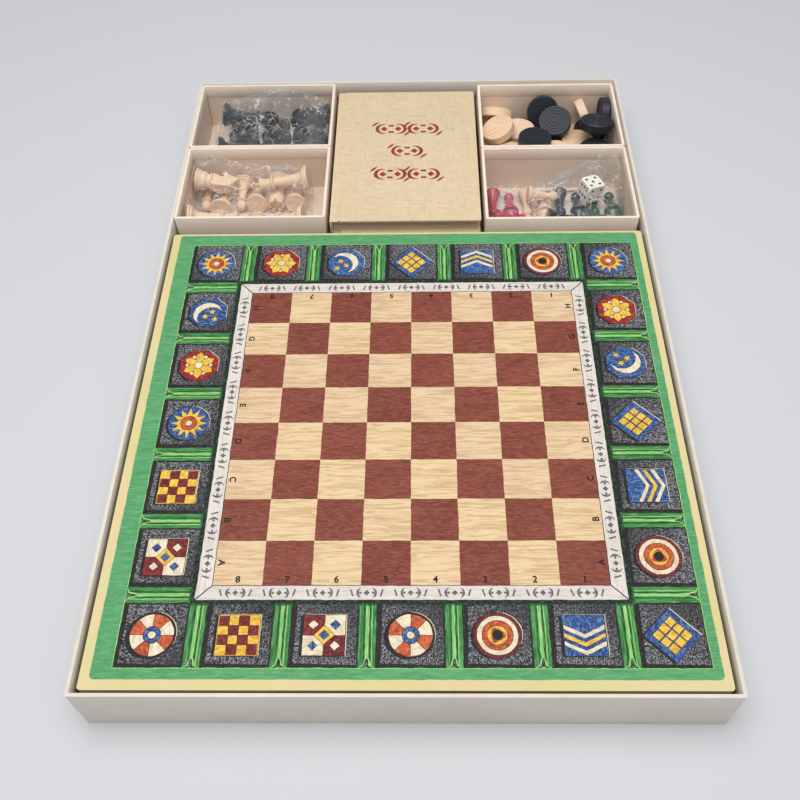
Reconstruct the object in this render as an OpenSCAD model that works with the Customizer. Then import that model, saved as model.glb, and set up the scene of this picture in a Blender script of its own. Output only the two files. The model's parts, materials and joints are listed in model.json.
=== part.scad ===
// Games compendium box: an open base with a stack of boards, a book of rules
// and four card trays of playing pieces. X runs across, Y to the rear, Z up.
// The origin is the middle of the underside.

/* [Box] */
// Height of the box
box_h = 41; // [38:0.5:60]
// Greyboard of the box walls and floor
box_board_t = 1.4; // [1:0.1:2.5]
// Paper wrap over box and trays
wrap_t = 0.3; // [0.1:0.05:0.4]
// How far the box wrap turns in below the rim
box_turn_in = 14; // [6:1:25]
// Outer corner radius of the box
box_corner_r = 1.6; // [1:0.1:3]

/* [Boards] */
// Width of the boards
board_w = 334; // [300:1:380]
// Length of the boards
board_l = 332; // [300:1:380]
// Greyboard core of one board
board_core_t = 3.5; // [2:0.1:4]
// Printed sheet on each side of a board
sheet_t = 0.3; // [0.1:0.05:0.4]
// Corner radius of the boards
board_corner_r = 2; // [1:0.5:6]
// Side clearance of the boards in the box
board_gap = 2; // [0.5:0.1:4]
// Clearance in front of the boards
board_front_gap = 3; // [0.5:0.1:6]
// Gap from the boards to the front trays
board_rear_gap = 8; // [5:0.5:20]
// Depth of the top board below the box rim
board_below_rim = 4.5; // [3:0.1:8]
// Card of the folded risers
riser_t = 1.2; // [0.8:0.1:2]

/* [Trays] */
// Width of a tray
tray_w = 109.7; // [105:0.1:115]
// Length of a tray from front to rear
tray_l = 79.4; // [78:0.1:90]
// Card of the tray walls
tray_board_t = 1.4; // [1:0.1:2]
// How far the tray wrap turns in below the rim
tray_turn_in = 10; // [5:1:15]
// Outer corner radius of the trays
tray_corner_r = 2; // [2:0.1:4]
// How far the tray rims stand above the box rim
tray_rise = 0.5; // [0:0.1:2]
// Gap between a front and a rear tray
tray_gap = 0.6; // [0.4:0.1:2]
// Gap from the left trays to the box wall
tray_left_gap = 0.4; // [0.3:0.1:2]
// Gap from the right trays to the box wall
tray_right_gap = 2.3; // [0.3:0.1:4]
// Gap from the left trays to the rear wall of the box
tray_rear_gap = 2; // [0.5:0.1:6]
// How much further forward the right trays stand
right_tray_shift = 3.5; // [0:0.1:4.5]

/* [Book] */
// Gap on each side of the book
book_side_gap = 2.95; // [1:0.05:5]
// Space behind the book
book_rear_gap = 9; // [2:0.5:15]
// Space between the book and the boards
book_front_gap = 11; // [2:0.5:20]
// Thickness of the book
book_t = 14; // [10:0.5:20]
// Thickness of a cover board
cover_t = 2.2; // [1.5:0.1:3]
// How far the covers overhang the pages
cover_overhang = 3; // [1.5:0.5:5]
// Width of the cloth joint along the spine
joint_w = 6.6; // [4:0.2:10]
// Thickness of the cloth joint
joint_t = 1; // [0.6:0.1:1.4]
// Depth of the book below the box rim
book_below_rim = 3; // [2:0.1:6]

/* [Chessmen] */
// Base diameter of the pawns
pawn_d = 16.4; // [14:0.1:18]
// Height of the pawns
pawn_h = 29; // [26:0.5:32]
// Base diameter of the rooks
rook_d = 18; // [16:0.1:20]
// Height of the rooks
rook_h = 29; // [26:0.5:32]
// Base diameter of the knights
knight_d = 18; // [16:0.1:20]
// Height of the knights
knight_h = 33; // [30:0.5:36]
// Base diameter of the bishops
bishop_d = 18; // [16:0.1:20]
// Height of the bishops
bishop_h = 36; // [32:0.5:39]
// Base diameter of the queens
queen_d = 19; // [17:0.1:21]
// Height of the queens
queen_h = 41; // [37:0.5:45]
// Base diameter of the kings
king_d = 19; // [17:0.1:21]
// Height of the kings
king_h = 45; // [40:0.5:49]
// Clearance between pieces that lie side by side
piece_gap = 0.4; // [0.3:0.1:1]
// Clearance between the lowest pieces and the film under them
film_gap = 0.3; // [0.2:0.1:0.6]

/* [Draughts] */
// Diameter of a draught
draught_d = 26; // [24:0.5:26.2]
// Thickness of a draught
draught_t = 7; // [5:0.25:8]

/* [Counters] */
// Base diameter of a cone pawn
cone_d = 12.6; // [10:0.2:13]
// Height of a cone pawn
cone_h = 24; // [20:0.5:25]
// Edge of the die
die_edge = 14; // [10:0.5:16]

/* [Bags] */
// Film of the bags, drawn thick enough to be solid
film_t = 0.3; // [0.2:0.05:0.4]
// Clearance around a bag in its tray
bag_gap = 0.4; // [0.3:0.1:1]

/* [Hidden] */
$fn = 48;

paper = "#e9e2d3";
grey_card = "#cdbb9f";
linen = "#d9c7a4";
dark_wood = "#26272b";
light_wood = "#e8cda4";

box_wall = box_board_t + 2 * wrap_t;
floor_z = box_board_t;
board_t = board_core_t + 2 * sheet_t;
box_in_w = board_w + 2 * board_gap;
box_w = box_in_w + 2 * box_wall;
trays_l = 2 * tray_l + tray_gap;
box_in_l = board_front_gap + board_l + board_rear_gap + right_tray_shift + trays_l + tray_rear_gap;
box_l = box_in_l + 2 * box_wall;
in_left = -box_in_w / 2;
in_front = -box_in_l / 2;
in_rear = box_in_l / 2;

board_x = 0;
board_y = in_front + board_front_gap + board_l / 2;
board_top_z = box_h - board_below_rim;
board_riser_h = board_top_z - 3 * board_t - floor_z;
board_rear_y = board_y + board_l / 2;

tray_wall = tray_board_t + 2 * wrap_t;
tray_in_w = tray_w - 2 * tray_wall;
tray_in_l = tray_l - 2 * tray_wall;
tray_h = box_h + tray_rise - floor_z;
left_tray_x = in_left + tray_left_gap + tray_w / 2;
right_tray_x = -in_left - tray_right_gap - tray_w / 2;
rear_tray_y = in_rear - tray_rear_gap - tray_l / 2;
front_tray_y = rear_tray_y - tray_l - tray_gap;
tray_floor_z = floor_z + tray_board_t;

bay_left = left_tray_x + tray_w / 2;
bay_right = right_tray_x - tray_w / 2;
book_w = bay_right - bay_left - 2 * book_side_gap;
book_x = (bay_left + bay_right) / 2;
book_rear_y = in_rear - book_rear_gap;
book_front_y = board_rear_y + book_front_gap;
book_l = book_rear_y - book_front_y;
book_y = (book_front_y + book_rear_y) / 2;
book_top_z = box_h - book_below_rim;
book_bottom_z = book_top_z - book_t;
book_left = book_x - book_w / 2;
page_gap = 0.3;
book_corner_r = 1.5;

// ---- shared shapes ----

module rounded(w, l, r) {
    square([w - 2 * r, l], center = true);
    square([w, l - 2 * r], center = true);
    for (sx = [-1, 1], sy = [-1, 1])
        translate([sx * (w / 2 - r), sy * (l / 2 - r)]) circle(r, $fn = 24);
}

module slab(w, l, h, r) {
    linear_extrude(h) rounded(w, l, r);
}

// Open card tray: walls and floor under a paper skin.
module card_tray(w, l, h, r, board, skin) {
    difference() {
        slab(w - 2 * skin, l - 2 * skin, h - skin, r - skin);
        translate([0, 0, board])
            linear_extrude(h)
                square([w - 2 * (skin + board), l - 2 * (skin + board)], center = true);
    }
}

// Paper over the outside, the rim and a strip inside.
module card_wrap(w, l, h, r, board, skin, turn_in) {
    card = 2 * (skin + board);
    inside = 2 * (board + 2 * skin);
    linear_extrude(h) difference() {
        rounded(w, l, r);
        rounded(w - 2 * skin, l - 2 * skin, r - skin);
    }
    translate([0, 0, h - skin]) linear_extrude(skin) difference() {
        rounded(w, l, r);
        square([w - inside, l - inside], center = true);
    }
    translate([0, 0, h - turn_in]) linear_extrude(turn_in) difference() {
        square([w - card, l - card], center = true);
        square([w - inside, l - inside], center = true);
    }
}

// Card folded down along four edges and propped across the middle.
module folded_riser(w, l, h, card) {
    translate([0, 0, h - card]) linear_extrude(card) square([w, l], center = true);
    linear_extrude(h) difference() {
        square([w, l], center = true);
        square([w - 2 * card, l - 2 * card], center = true);
    }
    linear_extrude(h) square([w - card, card], center = true);
}

// ---- box, risers and boards ----

card_w = box_w - 2 * wrap_t;
card_l = box_l - 2 * wrap_t;

module box_floor() {
    color(grey_card) slab(card_w, card_l, floor_z, box_corner_r - wrap_t);
}

// The front and rear walls reach over the ends of the side walls.
module end_wall(side) {
    color(grey_card) translate([0, 0, floor_z]) linear_extrude(box_h - wrap_t - floor_z)
        intersection() {
            rounded(card_w, card_l, box_corner_r - wrap_t);
            translate([0, side * (card_l - box_board_t) / 2])
                square([card_w, box_board_t], center = true);
        }
}

module side_wall(side) {
    color(grey_card)
        translate([side * (card_w - box_board_t) / 2, 0, floor_z])
            linear_extrude(box_h - wrap_t - floor_z)
                square([box_board_t, card_l - 2 * box_board_t], center = true);
}

module box_front_wall() { end_wall(-1); }
module box_rear_wall() { end_wall(1); }
module box_left_wall() { side_wall(-1); }
module box_right_wall() { side_wall(1); }

module box_wrap() {
    color(paper)
        card_wrap(box_w, box_l, box_h, box_corner_r, box_board_t, wrap_t, box_turn_in);
}

riser_inset = 2;
module board_riser() {
    color(grey_card) translate([board_x, board_y, floor_z])
        folded_riser(board_w - 2 * riser_inset, board_l - 2 * riser_inset, board_riser_h, riser_t);
}

module book_riser() {
    riser_h = book_bottom_z - floor_z;
    color(grey_card) translate([book_x, book_y, floor_z])
        folded_riser(book_w - 2 * riser_inset, book_l - 2 * riser_inset, riser_h, riser_t);
}

// level 0 is the lowest board, 2 the one on top.
module board_core(level) {
    translate([board_x, board_y, floor_z + board_riser_h + level * board_t + sheet_t])
        slab(board_w, board_l, board_core_t, board_corner_r);
}

module board_sheet(level, side) {
    lift = side == "face" ? board_core_t + sheet_t : 0;
    translate([board_x, board_y, floor_z + board_riser_h + level * board_t + lift])
        slab(board_w, board_l, sheet_t, board_corner_r);
}

module chess_board() { color(grey_card) board_core(2); }
module chess_board_face() { color("#3f9a5b") board_sheet(2, "face"); }
module chess_board_reverse() { color("#d9b86a") board_sheet(2, "reverse"); }
module middle_board() { color(grey_card) board_core(1); }
module middle_board_face() { color("#c9a15a") board_sheet(1, "face"); }
module middle_board_reverse() { color("#8f5a3c") board_sheet(1, "reverse"); }
module lower_board() { color(grey_card) board_core(0); }
module lower_board_face() { color("#7e9a6a") board_sheet(0, "face"); }
module lower_board_reverse() { color("#b9694a") board_sheet(0, "reverse"); }

// ---- book of rules ----

cover_gap = 0.3;
module cover_board(z) {
    x0 = book_left + joint_w + cover_gap;
    w = book_w - joint_w - cover_gap;
    translate([x0 + w / 2, book_y, z]) slab(w, book_l, cover_t, book_corner_r);
}

module book_back_cover() { color(linen) cover_board(book_bottom_z); }

module book_front_cover() { color(linen) cover_board(book_top_z - cover_t); }

module book_spine() {
    color(linen) translate([book_left, book_y - book_l / 2, book_bottom_z]) {
        translate([0, 0, joint_t / 2]) cube([cover_t, book_l, book_t - joint_t]);
        translate([0, 0, joint_t / 2]) cube([joint_w, book_l, joint_t]);
        translate([0, 0, book_t - 1.5 * joint_t]) cube([joint_w, book_l, joint_t]);
    }
}

module book_pages() {
    x0 = book_left + cover_t + page_gap;
    x1 = book_left + book_w - cover_overhang;
    color("#cdb48f")
        translate([x0, book_y - book_l / 2 + cover_overhang, book_bottom_z + cover_t])
            cube([x1 - x0, book_l - 2 * cover_overhang, book_t - 2 * cover_t - page_gap]);
}

// ---- trays ----

function tray_place(side, row) = [
    side == "left" ? left_tray_x : right_tray_x,
    (row == "rear" ? rear_tray_y : front_tray_y) - (side == "left" ? 0 : right_tray_shift),
    floor_z
];

module tray(side, row) {
    color(grey_card) translate(tray_place(side, row))
        card_tray(tray_w, tray_l, tray_h, tray_corner_r, tray_board_t, wrap_t);
}

module tray_wrap(side, row) {
    color(paper) translate(tray_place(side, row))
        card_wrap(tray_w, tray_l, tray_h, tray_corner_r, tray_board_t, wrap_t, tray_turn_in);
}

module tray_rear_left() { tray("left", "rear"); }
module tray_rear_left_wrap() { tray_wrap("left", "rear"); }
module tray_front_left() { tray("left", "front"); }
module tray_front_left_wrap() { tray_wrap("left", "front"); }
module tray_rear_right() { tray("right", "rear"); }
module tray_rear_right_wrap() { tray_wrap("right", "rear"); }
module tray_front_right() { tray("right", "front"); }
module tray_front_right_wrap() { tray_wrap("right", "front"); }

// ---- turned chessmen, standing on their base ----

pawn = 0;
rook = 1;
knight = 2;
bishop = 3;
queen = 4;
king = 5;
man_d = [pawn_d, rook_d, knight_d, bishop_d, queen_d, king_d];
man_height = [pawn_h, rook_h, knight_h, bishop_h, queen_h, king_h];
function base_r(kind) = man_d[kind] / 2;
function man_h(kind) = man_height[kind];
// Radius of the head as a share of the base radius
head_share = [0.52, 0.72, 0.46, 0.5, 0.6, 0.56];
function head_r(kind) = head_share[kind] * base_r(kind);
// Half of the room that the head takes beside the next foot, as a share of it too
side_share = [0.52, 0.72, 0.77, 0.5, 0.6, 0.56];
function side_r(kind) = side_share[kind] * base_r(kind);

// Height of the plain foot as a share of the base radius
foot_share = 0.16;
// Foot and stem up to the height neck_z, ending in a collar.
module stem(r, neck_r, neck_z, collar_r) {
    low_r = 1.3 * neck_r;
    low_z = 0.8 * r;
    high_z = neck_z - 0.26 * r;
    rotate_extrude() polygon(concat(
        [
            [0, 0], [0.95 * r, 0], [r, 0.05 * r], [r, foot_share * r], [0.93 * r, 0.2 * r],
            [0.86 * r, 0.22 * r], [0.9 * r, 0.27 * r], [0.9 * r, 0.36 * r], [0.84 * r, 0.4 * r],
            [(0.84 * r + low_r) / 2 - 0.03 * r, 0.54 * r]
        ],
        [for (t = [0:0.25:1])
            [low_r + (neck_r - low_r) * sin(90 * t), low_z + (high_z - low_z) * t]],
        [
            [0.82 * collar_r, neck_z - 0.2 * r], [collar_r, neck_z - 0.14 * r],
            [collar_r, neck_z - 0.05 * r], [0.8 * collar_r, neck_z],
            [0.7 * neck_r, neck_z + 0.1 * r], [0, neck_z + 0.1 * r]
        ]
    ));
}

module pawn_man(r, h) {
    ball = 0.52 * r;
    stem(r, 0.36 * r, h - 1.85 * ball, 0.6 * r);
    translate([0, 0, h - ball]) sphere(ball, $fn = 32);
}

module rook_man(r, h) {
    head = 0.72 * r;
    stem(r, 0.5 * r, h - 0.95 * r, 0.7 * r);
    difference() {
        translate([0, 0, h - 0.9 * r]) cylinder(h = 0.9 * r, r = head);
        translate([0, 0, h - 0.35 * r]) cylinder(h = r, r = 0.6 * head);
        for (a = [0, 60, 120]) rotate([0, 0, a])
            translate([-r, -0.12 * r, h - 0.25 * r]) cube([2 * r, 0.24 * r, r]);
    }
}

// Horse's head seen from the side, 20 high, with a notched mane.
horse_neck = [[-5.4, 0], [5.4, 0], [5.1, 2.2], [4, 4.4], [3, 6.4], [3.1, 8.2]];
horse_face = [
    [4.4, 8.9], [6.2, 7.9], [7.2, 6.8], [8.4, 6.7], [9, 7.9], [8.7, 9.4], [7.4, 11.4], [5.6, 13.8],
    [4.4, 15.8], [3.4, 17], [2.6, 20], [1.2, 17.7]
];
horse_mane = [
    [-0.8, 17.5], [-1.7, 16.2], [-2.9, 16.3], [-3.5, 14.7], [-4.7, 14.3], [-4.9, 12.6], [-6, 11.9],
    [-5.8, 10.2], [-6.8, 9.2], [-6.2, 7.4], [-6.9, 6.2], [-6.1, 3]
];

module knight_man(r, h) {
    stem(r, 0.62 * r, 0.38 * h, 0.74 * r);
    t = 0.92 * r;
    unit = h * 0.64 / 20;
    translate([0, 0, 0.36 * h]) difference() {
        translate([0, t / 2, 0]) rotate([90, 0, 0]) linear_extrude(t)
            scale(unit) polygon(concat(horse_neck, horse_face, horse_mane));
        for (side = [-1, 1]) {
            // Cheeks that narrow to the muzzle
            translate([4.2 * unit, side * t / 2, 0]) rotate([0, 0, side * -17])
                translate([0, side > 0 ? 0 : -t, -1]) cube([2 * h, t, h]);
            // Eyes
            translate([3.1 * unit, side * t / 2, 13.6 * unit]) rotate([90, 0, 0])
                cylinder(h = 0.16 * t, r = 0.7 * unit, center = true, $fn = 20);
        }
    }
}

module bishop_man(r, h) {
    head = 0.5 * r;
    low = h - 3.6 * head;
    stem(r, 0.36 * r, low, 0.62 * r);
    difference() {
        translate([0, 0, low]) rotate_extrude() polygon([
            [0, 0], [0.55 * head, 0], [0.9 * head, 0.7 * head], [head, 1.3 * head],
            [0.84 * head, 2 * head], [0.5 * head, 2.7 * head], [0.2 * head, 3 * head],
            [0.3 * head, 3.3 * head], [0.18 * head, 3.55 * head], [0, 3.6 * head]
        ]);
        translate([0.2 * head, -r, low + 1.9 * head]) rotate([0, -35, 0])
            cube([3 * head, 2 * r, 0.28 * head]);
    }
}

module crown(r, low, top_r, crown_h) {
    translate([0, 0, low]) rotate_extrude() polygon([
        [0, 0], [0.36 * r, 0], [0.42 * r, 0.5 * crown_h], [top_r, 0.95 * crown_h],
        [0.9 * top_r, crown_h], [0.55 * top_r, 1.1 * crown_h], [0, 1.2 * crown_h]
    ]);
}

module queen_man(r, h) {
    low = h - 1.5 * r;
    stem(r, 0.36 * r, low, 0.66 * r);
    crown(r, low, 0.6 * r, 1.05 * r);
    translate([0, 0, h - 0.18 * r]) sphere(0.18 * r, $fn = 24);
}

module king_man(r, h) {
    low = h - 1.75 * r;
    arm = 0.13 * r;
    stem(r, 0.38 * r, low, 0.68 * r);
    crown(r, low, 0.56 * r, r);
    translate([-arm, -arm, h - 0.7 * r]) cube([2 * arm, 2 * arm, 0.7 * r]);
    translate([-0.28 * r, -arm, h - 0.4 * r]) cube([0.56 * r, 2 * arm, 0.2 * r]);
}

module chessman(kind) {
    r = base_r(kind);
    h = man_h(kind);
    if (kind == pawn) pawn_man(r, h);
    if (kind == rook) rook_man(r, h);
    if (kind == knight) knight_man(r, h);
    if (kind == bishop) bishop_man(r, h);
    if (kind == queen) queen_man(r, h);
    if (kind == king) king_man(r, h);
}

// ---- how the chessmen lie: two rows side by side, and four men across them ----

function total(list, n) = n < 1 ? 0 : list[n - 1] + total(list, n - 1);
// Distance between neighbours that lie head to foot
function pitch(a, b) =
    max(base_r(a) + side_r(b), base_r(b) + side_r(a)) + piece_gap;
function row_steps(row) = [for (i = [0:len(row) - 2]) pitch(row[i], row[i + 1])];
function row_span(row) =
    total(row_steps(row), len(row) - 1) + base_r(row[0]) + base_r(row[len(row) - 1]);
function foot_h(kind) = foot_share * base_r(kind);
// How far below its tip the head is widest
function head_back(kind) = kind == rook || kind == knight ? 0 : head_r(kind);
// Dip of the axis of a man that lies on the rim of its foot and on its head
function dip(kind) =
    atan((base_r(kind) - head_r(kind)) / (man_h(kind) - head_back(kind) - foot_h(kind)));
function rest_z(kind) = base_r(kind) * cos(dip(kind)) + foot_h(kind) * sin(dip(kind));
// How far the tilted foot reaches behind its centre
function heel(kind) = base_r(kind) * sin(dip(kind));
function lying_l(kind) = man_h(kind) * cos(dip(kind)) + heel(kind);

bag_in_l = tray_in_l - 2 * (bag_gap + film_t);
// Middle of a man that lies against the end of the bag; side is -1 in front, 1 behind.
function middle_y(kind, side) = side * (bag_in_l / 2 - piece_gap - lying_l(kind) / 2);

// Each man is [kind, x, y, z of the base centre, heading of the head, dip].
function row_men(row, side, flip) = [
    for (i = [0:len(row) - 1])
        let (
            kind = row[i],
            way = (i + flip) % 2 == 0 ? 1 : -1,
            x = total(row_steps(row), i) + base_r(row[0]),
            y = middle_y(kind, side) - way * (lying_l(kind) / 2 - heel(kind))
        )
        [kind, x, y, rest_z(kind), way * 90, dip(kind)]
];

// Men over the dip in the middle of a row, end to end along X.
over_lift = 0.77 * pawn_d;
// Each is turned inwards by its swing.
function over_men(pair, side, span, swing) =
    let (y = middle_y(pawn, side))
    [
        [
            pair[0], heel(pair[0]) + base_r(pair[0]) * sin(swing[0]), y,
            over_lift + rest_z(pair[0]), -side * swing[0], dip(pair[0])
        ],
        [
            pair[1], span - heel(pair[1]) - base_r(pair[1]) * sin(swing[1]), y,
            over_lift + rest_z(pair[1]), 180 + side * swing[1], dip(pair[1])
        ]
    ];

function bag_men(front, rear, over_front, over_rear) =
    let (span = max(row_span(front), row_span(rear)))
    concat(
        row_men(front, -1, 0), row_men(rear, 1, 1),
        over_men(over_front, -1, span, [4, 3]), over_men(over_rear, 1, span, [3, 4])
    );

front_row = [pawn, rook, pawn, pawn, knight, pawn];
rear_row = [pawn, bishop, pawn, pawn, rook, pawn];
bag_span = max(row_span(front_row), row_span(rear_row));
dark_men = bag_men(front_row, rear_row, [queen, bishop], [king, knight]);
light_men = bag_men(front_row, rear_row, [queen, bishop], [knight, king]);

bag_w = bag_span + 2 * (film_t + piece_gap);
bag_l = bag_in_l + 2 * film_t;
chess_bag_h = over_lift + 2 * base_r(king) + 2 * film_t + piece_gap + film_gap;
bag_z = tray_floor_z + bag_gap;
dark_bag_x = left_tray_x + tray_in_w / 2 - bag_gap - bag_w / 2;
light_bag_x = left_tray_x - tray_in_w / 2 + bag_gap + bag_w / 2;

bag_corner_r = 3;
module film_bag(w, l, h) {
    difference() {
        slab(w, l, h, bag_corner_r);
        translate([0, 0, film_t])
            slab(w - 2 * film_t, l - 2 * film_t, h - 2 * film_t, bag_corner_r - film_t);
    }
}

module bag_dark_chessmen() {
    color("white", 0.4) translate([dark_bag_x, rear_tray_y, bag_z])
        film_bag(bag_w, bag_l, chess_bag_h);
}

module bag_light_chessmen() {
    color("white", 0.4) translate([light_bag_x, front_tray_y, bag_z])
        film_bag(bag_w, bag_l, chess_bag_h);
}

// A knight lies on the flat side of its head.
module lying_man(man) {
    translate([man[1], man[2], man[3]]) rotate([0, 0, man[4]]) rotate([0, 90 + man[5], 0])
        rotate([0, 0, man[0] == knight ? 90 : 0]) chessman(man[0]);
}

module men_in_bag(men, kind, bag_x, bag_y) {
    translate([bag_x - bag_span / 2, bag_y, bag_z + film_t + film_gap])
        for (man = men) if (man[0] == kind) lying_man(man);
}

module dark(kind) { color(dark_wood) men_in_bag(dark_men, kind, dark_bag_x, rear_tray_y); }
module light(kind) { color(light_wood) men_in_bag(light_men, kind, light_bag_x, front_tray_y); }

module dark_king() { dark(king); }
module dark_queen() { dark(queen); }
module dark_bishops() { dark(bishop); }
module dark_knights() { dark(knight); }
module dark_rooks() { dark(rook); }
module dark_pawns() { dark(pawn); }
module light_king() { light(king); }
module light_queen() { light(queen); }
module light_bishops() { light(bishop); }
module light_knights() { light(knight); }
module light_rooks() { light(rook); }
module light_pawns() { light(pawn); }

// ---- draughts ----

groove_depth = 0.5;
groove_w = 0.6;
groove_r = [0.4, 0.31, 0.21, 0.11] * draught_d;
draught_pitch = draught_d + piece_gap;
draughts_across = floor(tray_in_w / draught_pitch);
// Each row of draughts lies in the hollows of the row before it
draught_rows_l = tray_in_l - draught_d - 2 * piece_gap;
draught_rows = 1 + floor(draught_rows_l / (cos(30) * draught_pitch));
row_pitch = draught_rows_l / (draught_rows - 1);

// Rings on the upper face only.
module draught() {
    r = draught_d / 2;
    t = draught_t / 2;
    edge = 0.6;
    rotate_extrude() polygon(concat(
        [[0, -t], [r - edge, -t], [r, -t + edge], [r, t - edge], [r - edge, t]],
        [for (g = groove_r) each [
            [g + groove_w, t], [g + 0.6 * groove_w, t - groove_depth],
            [g - 0.6 * groove_w, t - groove_depth], [g - groove_w, t]
        ]],
        [[0, t]]
    ));
}

pile_corner = [
    right_tray_x - tray_in_w / 2,
    rear_tray_y - right_tray_shift - tray_in_l / 2,
    tray_floor_z
];

// Two full layers, the upper one without its rear row.
module lower_draughts(dark) {
    translate(pile_corner)
        for (layer = [0, 1], row = [0:draught_rows - 1 - layer], i = [0:draughts_across - 1 - row % 2])
            if ((layer + row + i) % 2 == dark) translate([
                piece_gap / 2 + draught_pitch * (i + (row % 2 + 1) / 2),
                piece_gap + draught_d / 2 + row * row_pitch,
                draught_t * (layer + 0.5)
            ]) draught();
}

// Half of the room that a draught takes up in the direction where its axis has this part
function reach(part) = sqrt(1 - part * part) * draught_d / 2 + abs(part) * draught_t / 2;
function in_room(share, room, part) = reach(part) + share * (room - 2 * reach(part));

// [across, along, as shares of the room that is left beside it; level in thicknesses;
// lean; turn; face]. The lower edge rests on that level, and the draught leans from there.
module loose_draught(place) {
    lean = place[3];
    turn = place[4];
    translate(pile_corner + [
        in_room(place[0], tray_in_w, sin(lean) * cos(turn)),
        in_room(place[1], tray_in_l, sin(lean) * sin(turn)),
        place[2] * draught_t + sin(lean) * draught_d / 2 + cos(lean) * draught_t / 2
    ])
        rotate([0, lean, turn]) rotate([place[5], 0, 0]) draught();
}

ring_up = 0;
ring_down = 180;
light_upper = [
    [0.130, 0.021, 2.03, 0, 0, ring_up],
    [0.580, 0.045, 2.03, 0, 0, ring_down],
    [0.228, 0.621, 2.03, 0, 0, ring_down],
    [0.868, 0.970, 1.04, 66, 10, ring_up]
];
dark_upper = [
    [0.965, 0.061, 2.04, 5, 200, ring_up],
    [0.496, 0.980, 1.04, 62, -95, ring_up],
    [0.994, 0.995, 1.03, 90, 0, ring_down]
];

module light_draughts_lower() { color(light_wood) lower_draughts(0); }
module dark_draughts_lower() { color(dark_wood) lower_draughts(1); }
module light_draughts_upper() { color(light_wood) for (p = light_upper) loose_draught(p); }
module dark_draughts_upper() { color(dark_wood) for (p = dark_upper) loose_draught(p); }
module light_draught_left() {
    color(light_wood) loose_draught([0.006, 0.453, 2.51, 24, 190, ring_up]);
}

module light_draught_rear() {
    color(light_wood) loose_draught([0.009, 0.980, 1.15, 48, 80, ring_down]);
}

module dark_draught_front() {
    color(dark_wood) loose_draught([0.365, 0.200, 3.06, 0, 0, ring_up]);
}

module dark_draught_middle() {
    color(dark_wood) loose_draught([0.595, 0.707, 2.05, 26, -105, ring_up]);
}

module dark_draught_right() {
    color(dark_wood) loose_draught([0.987, 0.474, 3.32, 14, 80, ring_up]);
}

// ---- counters in the front right tray ----

counter_bag = [right_tray_x, front_tray_y - right_tray_shift];
counter_bag_w = tray_in_w - 2 * bag_gap;
cone_r = cone_d / 2;
cone_head_r = 0.62 * cone_r;
cone_foot_h = 0.05 * cone_h;
cone_dip = atan((cone_r - cone_head_r) / (cone_h - cone_head_r - cone_foot_h));
cone_rest_z = cone_r * cos(cone_dip) + cone_foot_h * sin(cone_dip);
cone_heel = cone_r * sin(cone_dip);
cone_lying_l = cone_h * cos(cone_dip) + cone_heel;
cone_columns = 8;
cone_pitch = (counter_bag_w - 2 * film_t - cone_d - 2 * piece_gap) / (cone_columns - 1);
cone_lift = 0.67 * cone_d;
counter_bag_h = cone_lift + max(cone_d, 1.4 * die_edge) + 2 * film_t + piece_gap + film_gap;

module cone_pawn() {
    rotate_extrude() polygon([
        [0, 0], [0.94 * cone_r, 0], [cone_r, 0.02 * cone_h], [cone_r, cone_foot_h],
        [0.92 * cone_r, 0.11 * cone_h], [0.76 * cone_r, 0.2 * cone_h],
        [0.6 * cone_r, 0.32 * cone_h], [0.48 * cone_r, 0.45 * cone_h],
        [0.4 * cone_r, 0.6 * cone_h],
        [0.32 * cone_r, cone_h - cone_head_r], [0, cone_h - cone_head_r]
    ]);
    translate([0, 0, cone_h - cone_head_r]) sphere(cone_head_r, $fn = 32);
}

module in_counter_bag() {
    translate([counter_bag[0], counter_bag[1], bag_z + film_t + film_gap]) children();
}

function cone_x(column) = (column - (cone_columns - 1) / 2) * cone_pitch;
function cone_row_y(row) = (row - 0.5) * (cone_lying_l + piece_gap);

// Column 0 is the left one; row 0 is the front one.
module cone_at(column, row) {
    way = (column + row) % 2 == 0 ? 1 : -1;
    in_counter_bag()
        translate([
            cone_x(column),
            cone_row_y(row) - way * (cone_lying_l / 2 - cone_heel),
            cone_rest_z
        ])
            rotate([0, 0, way * 90]) rotate([0, 90 + cone_dip, 0]) cone_pawn();
}

// Lies across the middle of a row, on top of it.
module cone_over(column, row) {
    in_counter_bag()
        translate([cone_x(column), cone_row_y(row), cone_lift + cone_rest_z])
            rotate([0, 90 + cone_dip, 0]) cone_pawn();
}

module four_cones(first, over_row, over_column) {
    for (column = [first, first + 1], row = [0, 1]) cone_at(column, row);
    cone_over(over_column, over_row);
}

module red_cone_pawns() { color("#c33a5e") four_cones(0, 0, 0); }
module natural_cone_pawns() { color(light_wood) four_cones(2, 1, 2); }
module blue_cone_pawns() { color("#2b3a5c") four_cones(4, 0, 3); }
module green_cone_pawns() { color("#2f6b48") four_cones(6, 0, 5); }

pip_r = 0.09;
module pips(count) {
    step = 0.26 * die_edge;
    spots = concat(
        count % 2 == 1 ? [[0, 0]] : [],
        count > 1 ? [[-1, -1], [1, 1]] : [],
        count > 3 ? [[-1, 1], [1, -1]] : [],
        count == 6 ? [[-1, 0], [1, 0]] : []
    );
    for (s = spots) translate([s[0] * step, s[1] * step, die_edge / 2 + 0.4 * pip_r * die_edge])
        sphere(pip_r * die_edge, $fn = 16);
}

module die() {
    color("ivory") in_counter_bag()
        translate([2.2 * cone_pitch, cone_row_y(1), cone_lift + 0.78 * die_edge])
            rotate([0, 0, 24]) rotate([0, 5, 0]) difference() {
                intersection() {
                    cube(die_edge, center = true);
                    sphere(0.78 * die_edge, $fn = 32);
                }
                pips(5);
                rotate([180, 0, 0]) pips(2);
                rotate([90, 0, 0]) pips(4);
                rotate([-90, 0, 0]) pips(3);
                rotate([0, 90, 0]) pips(1);
                rotate([0, -90, 0]) pips(6);
            }
}

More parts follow.
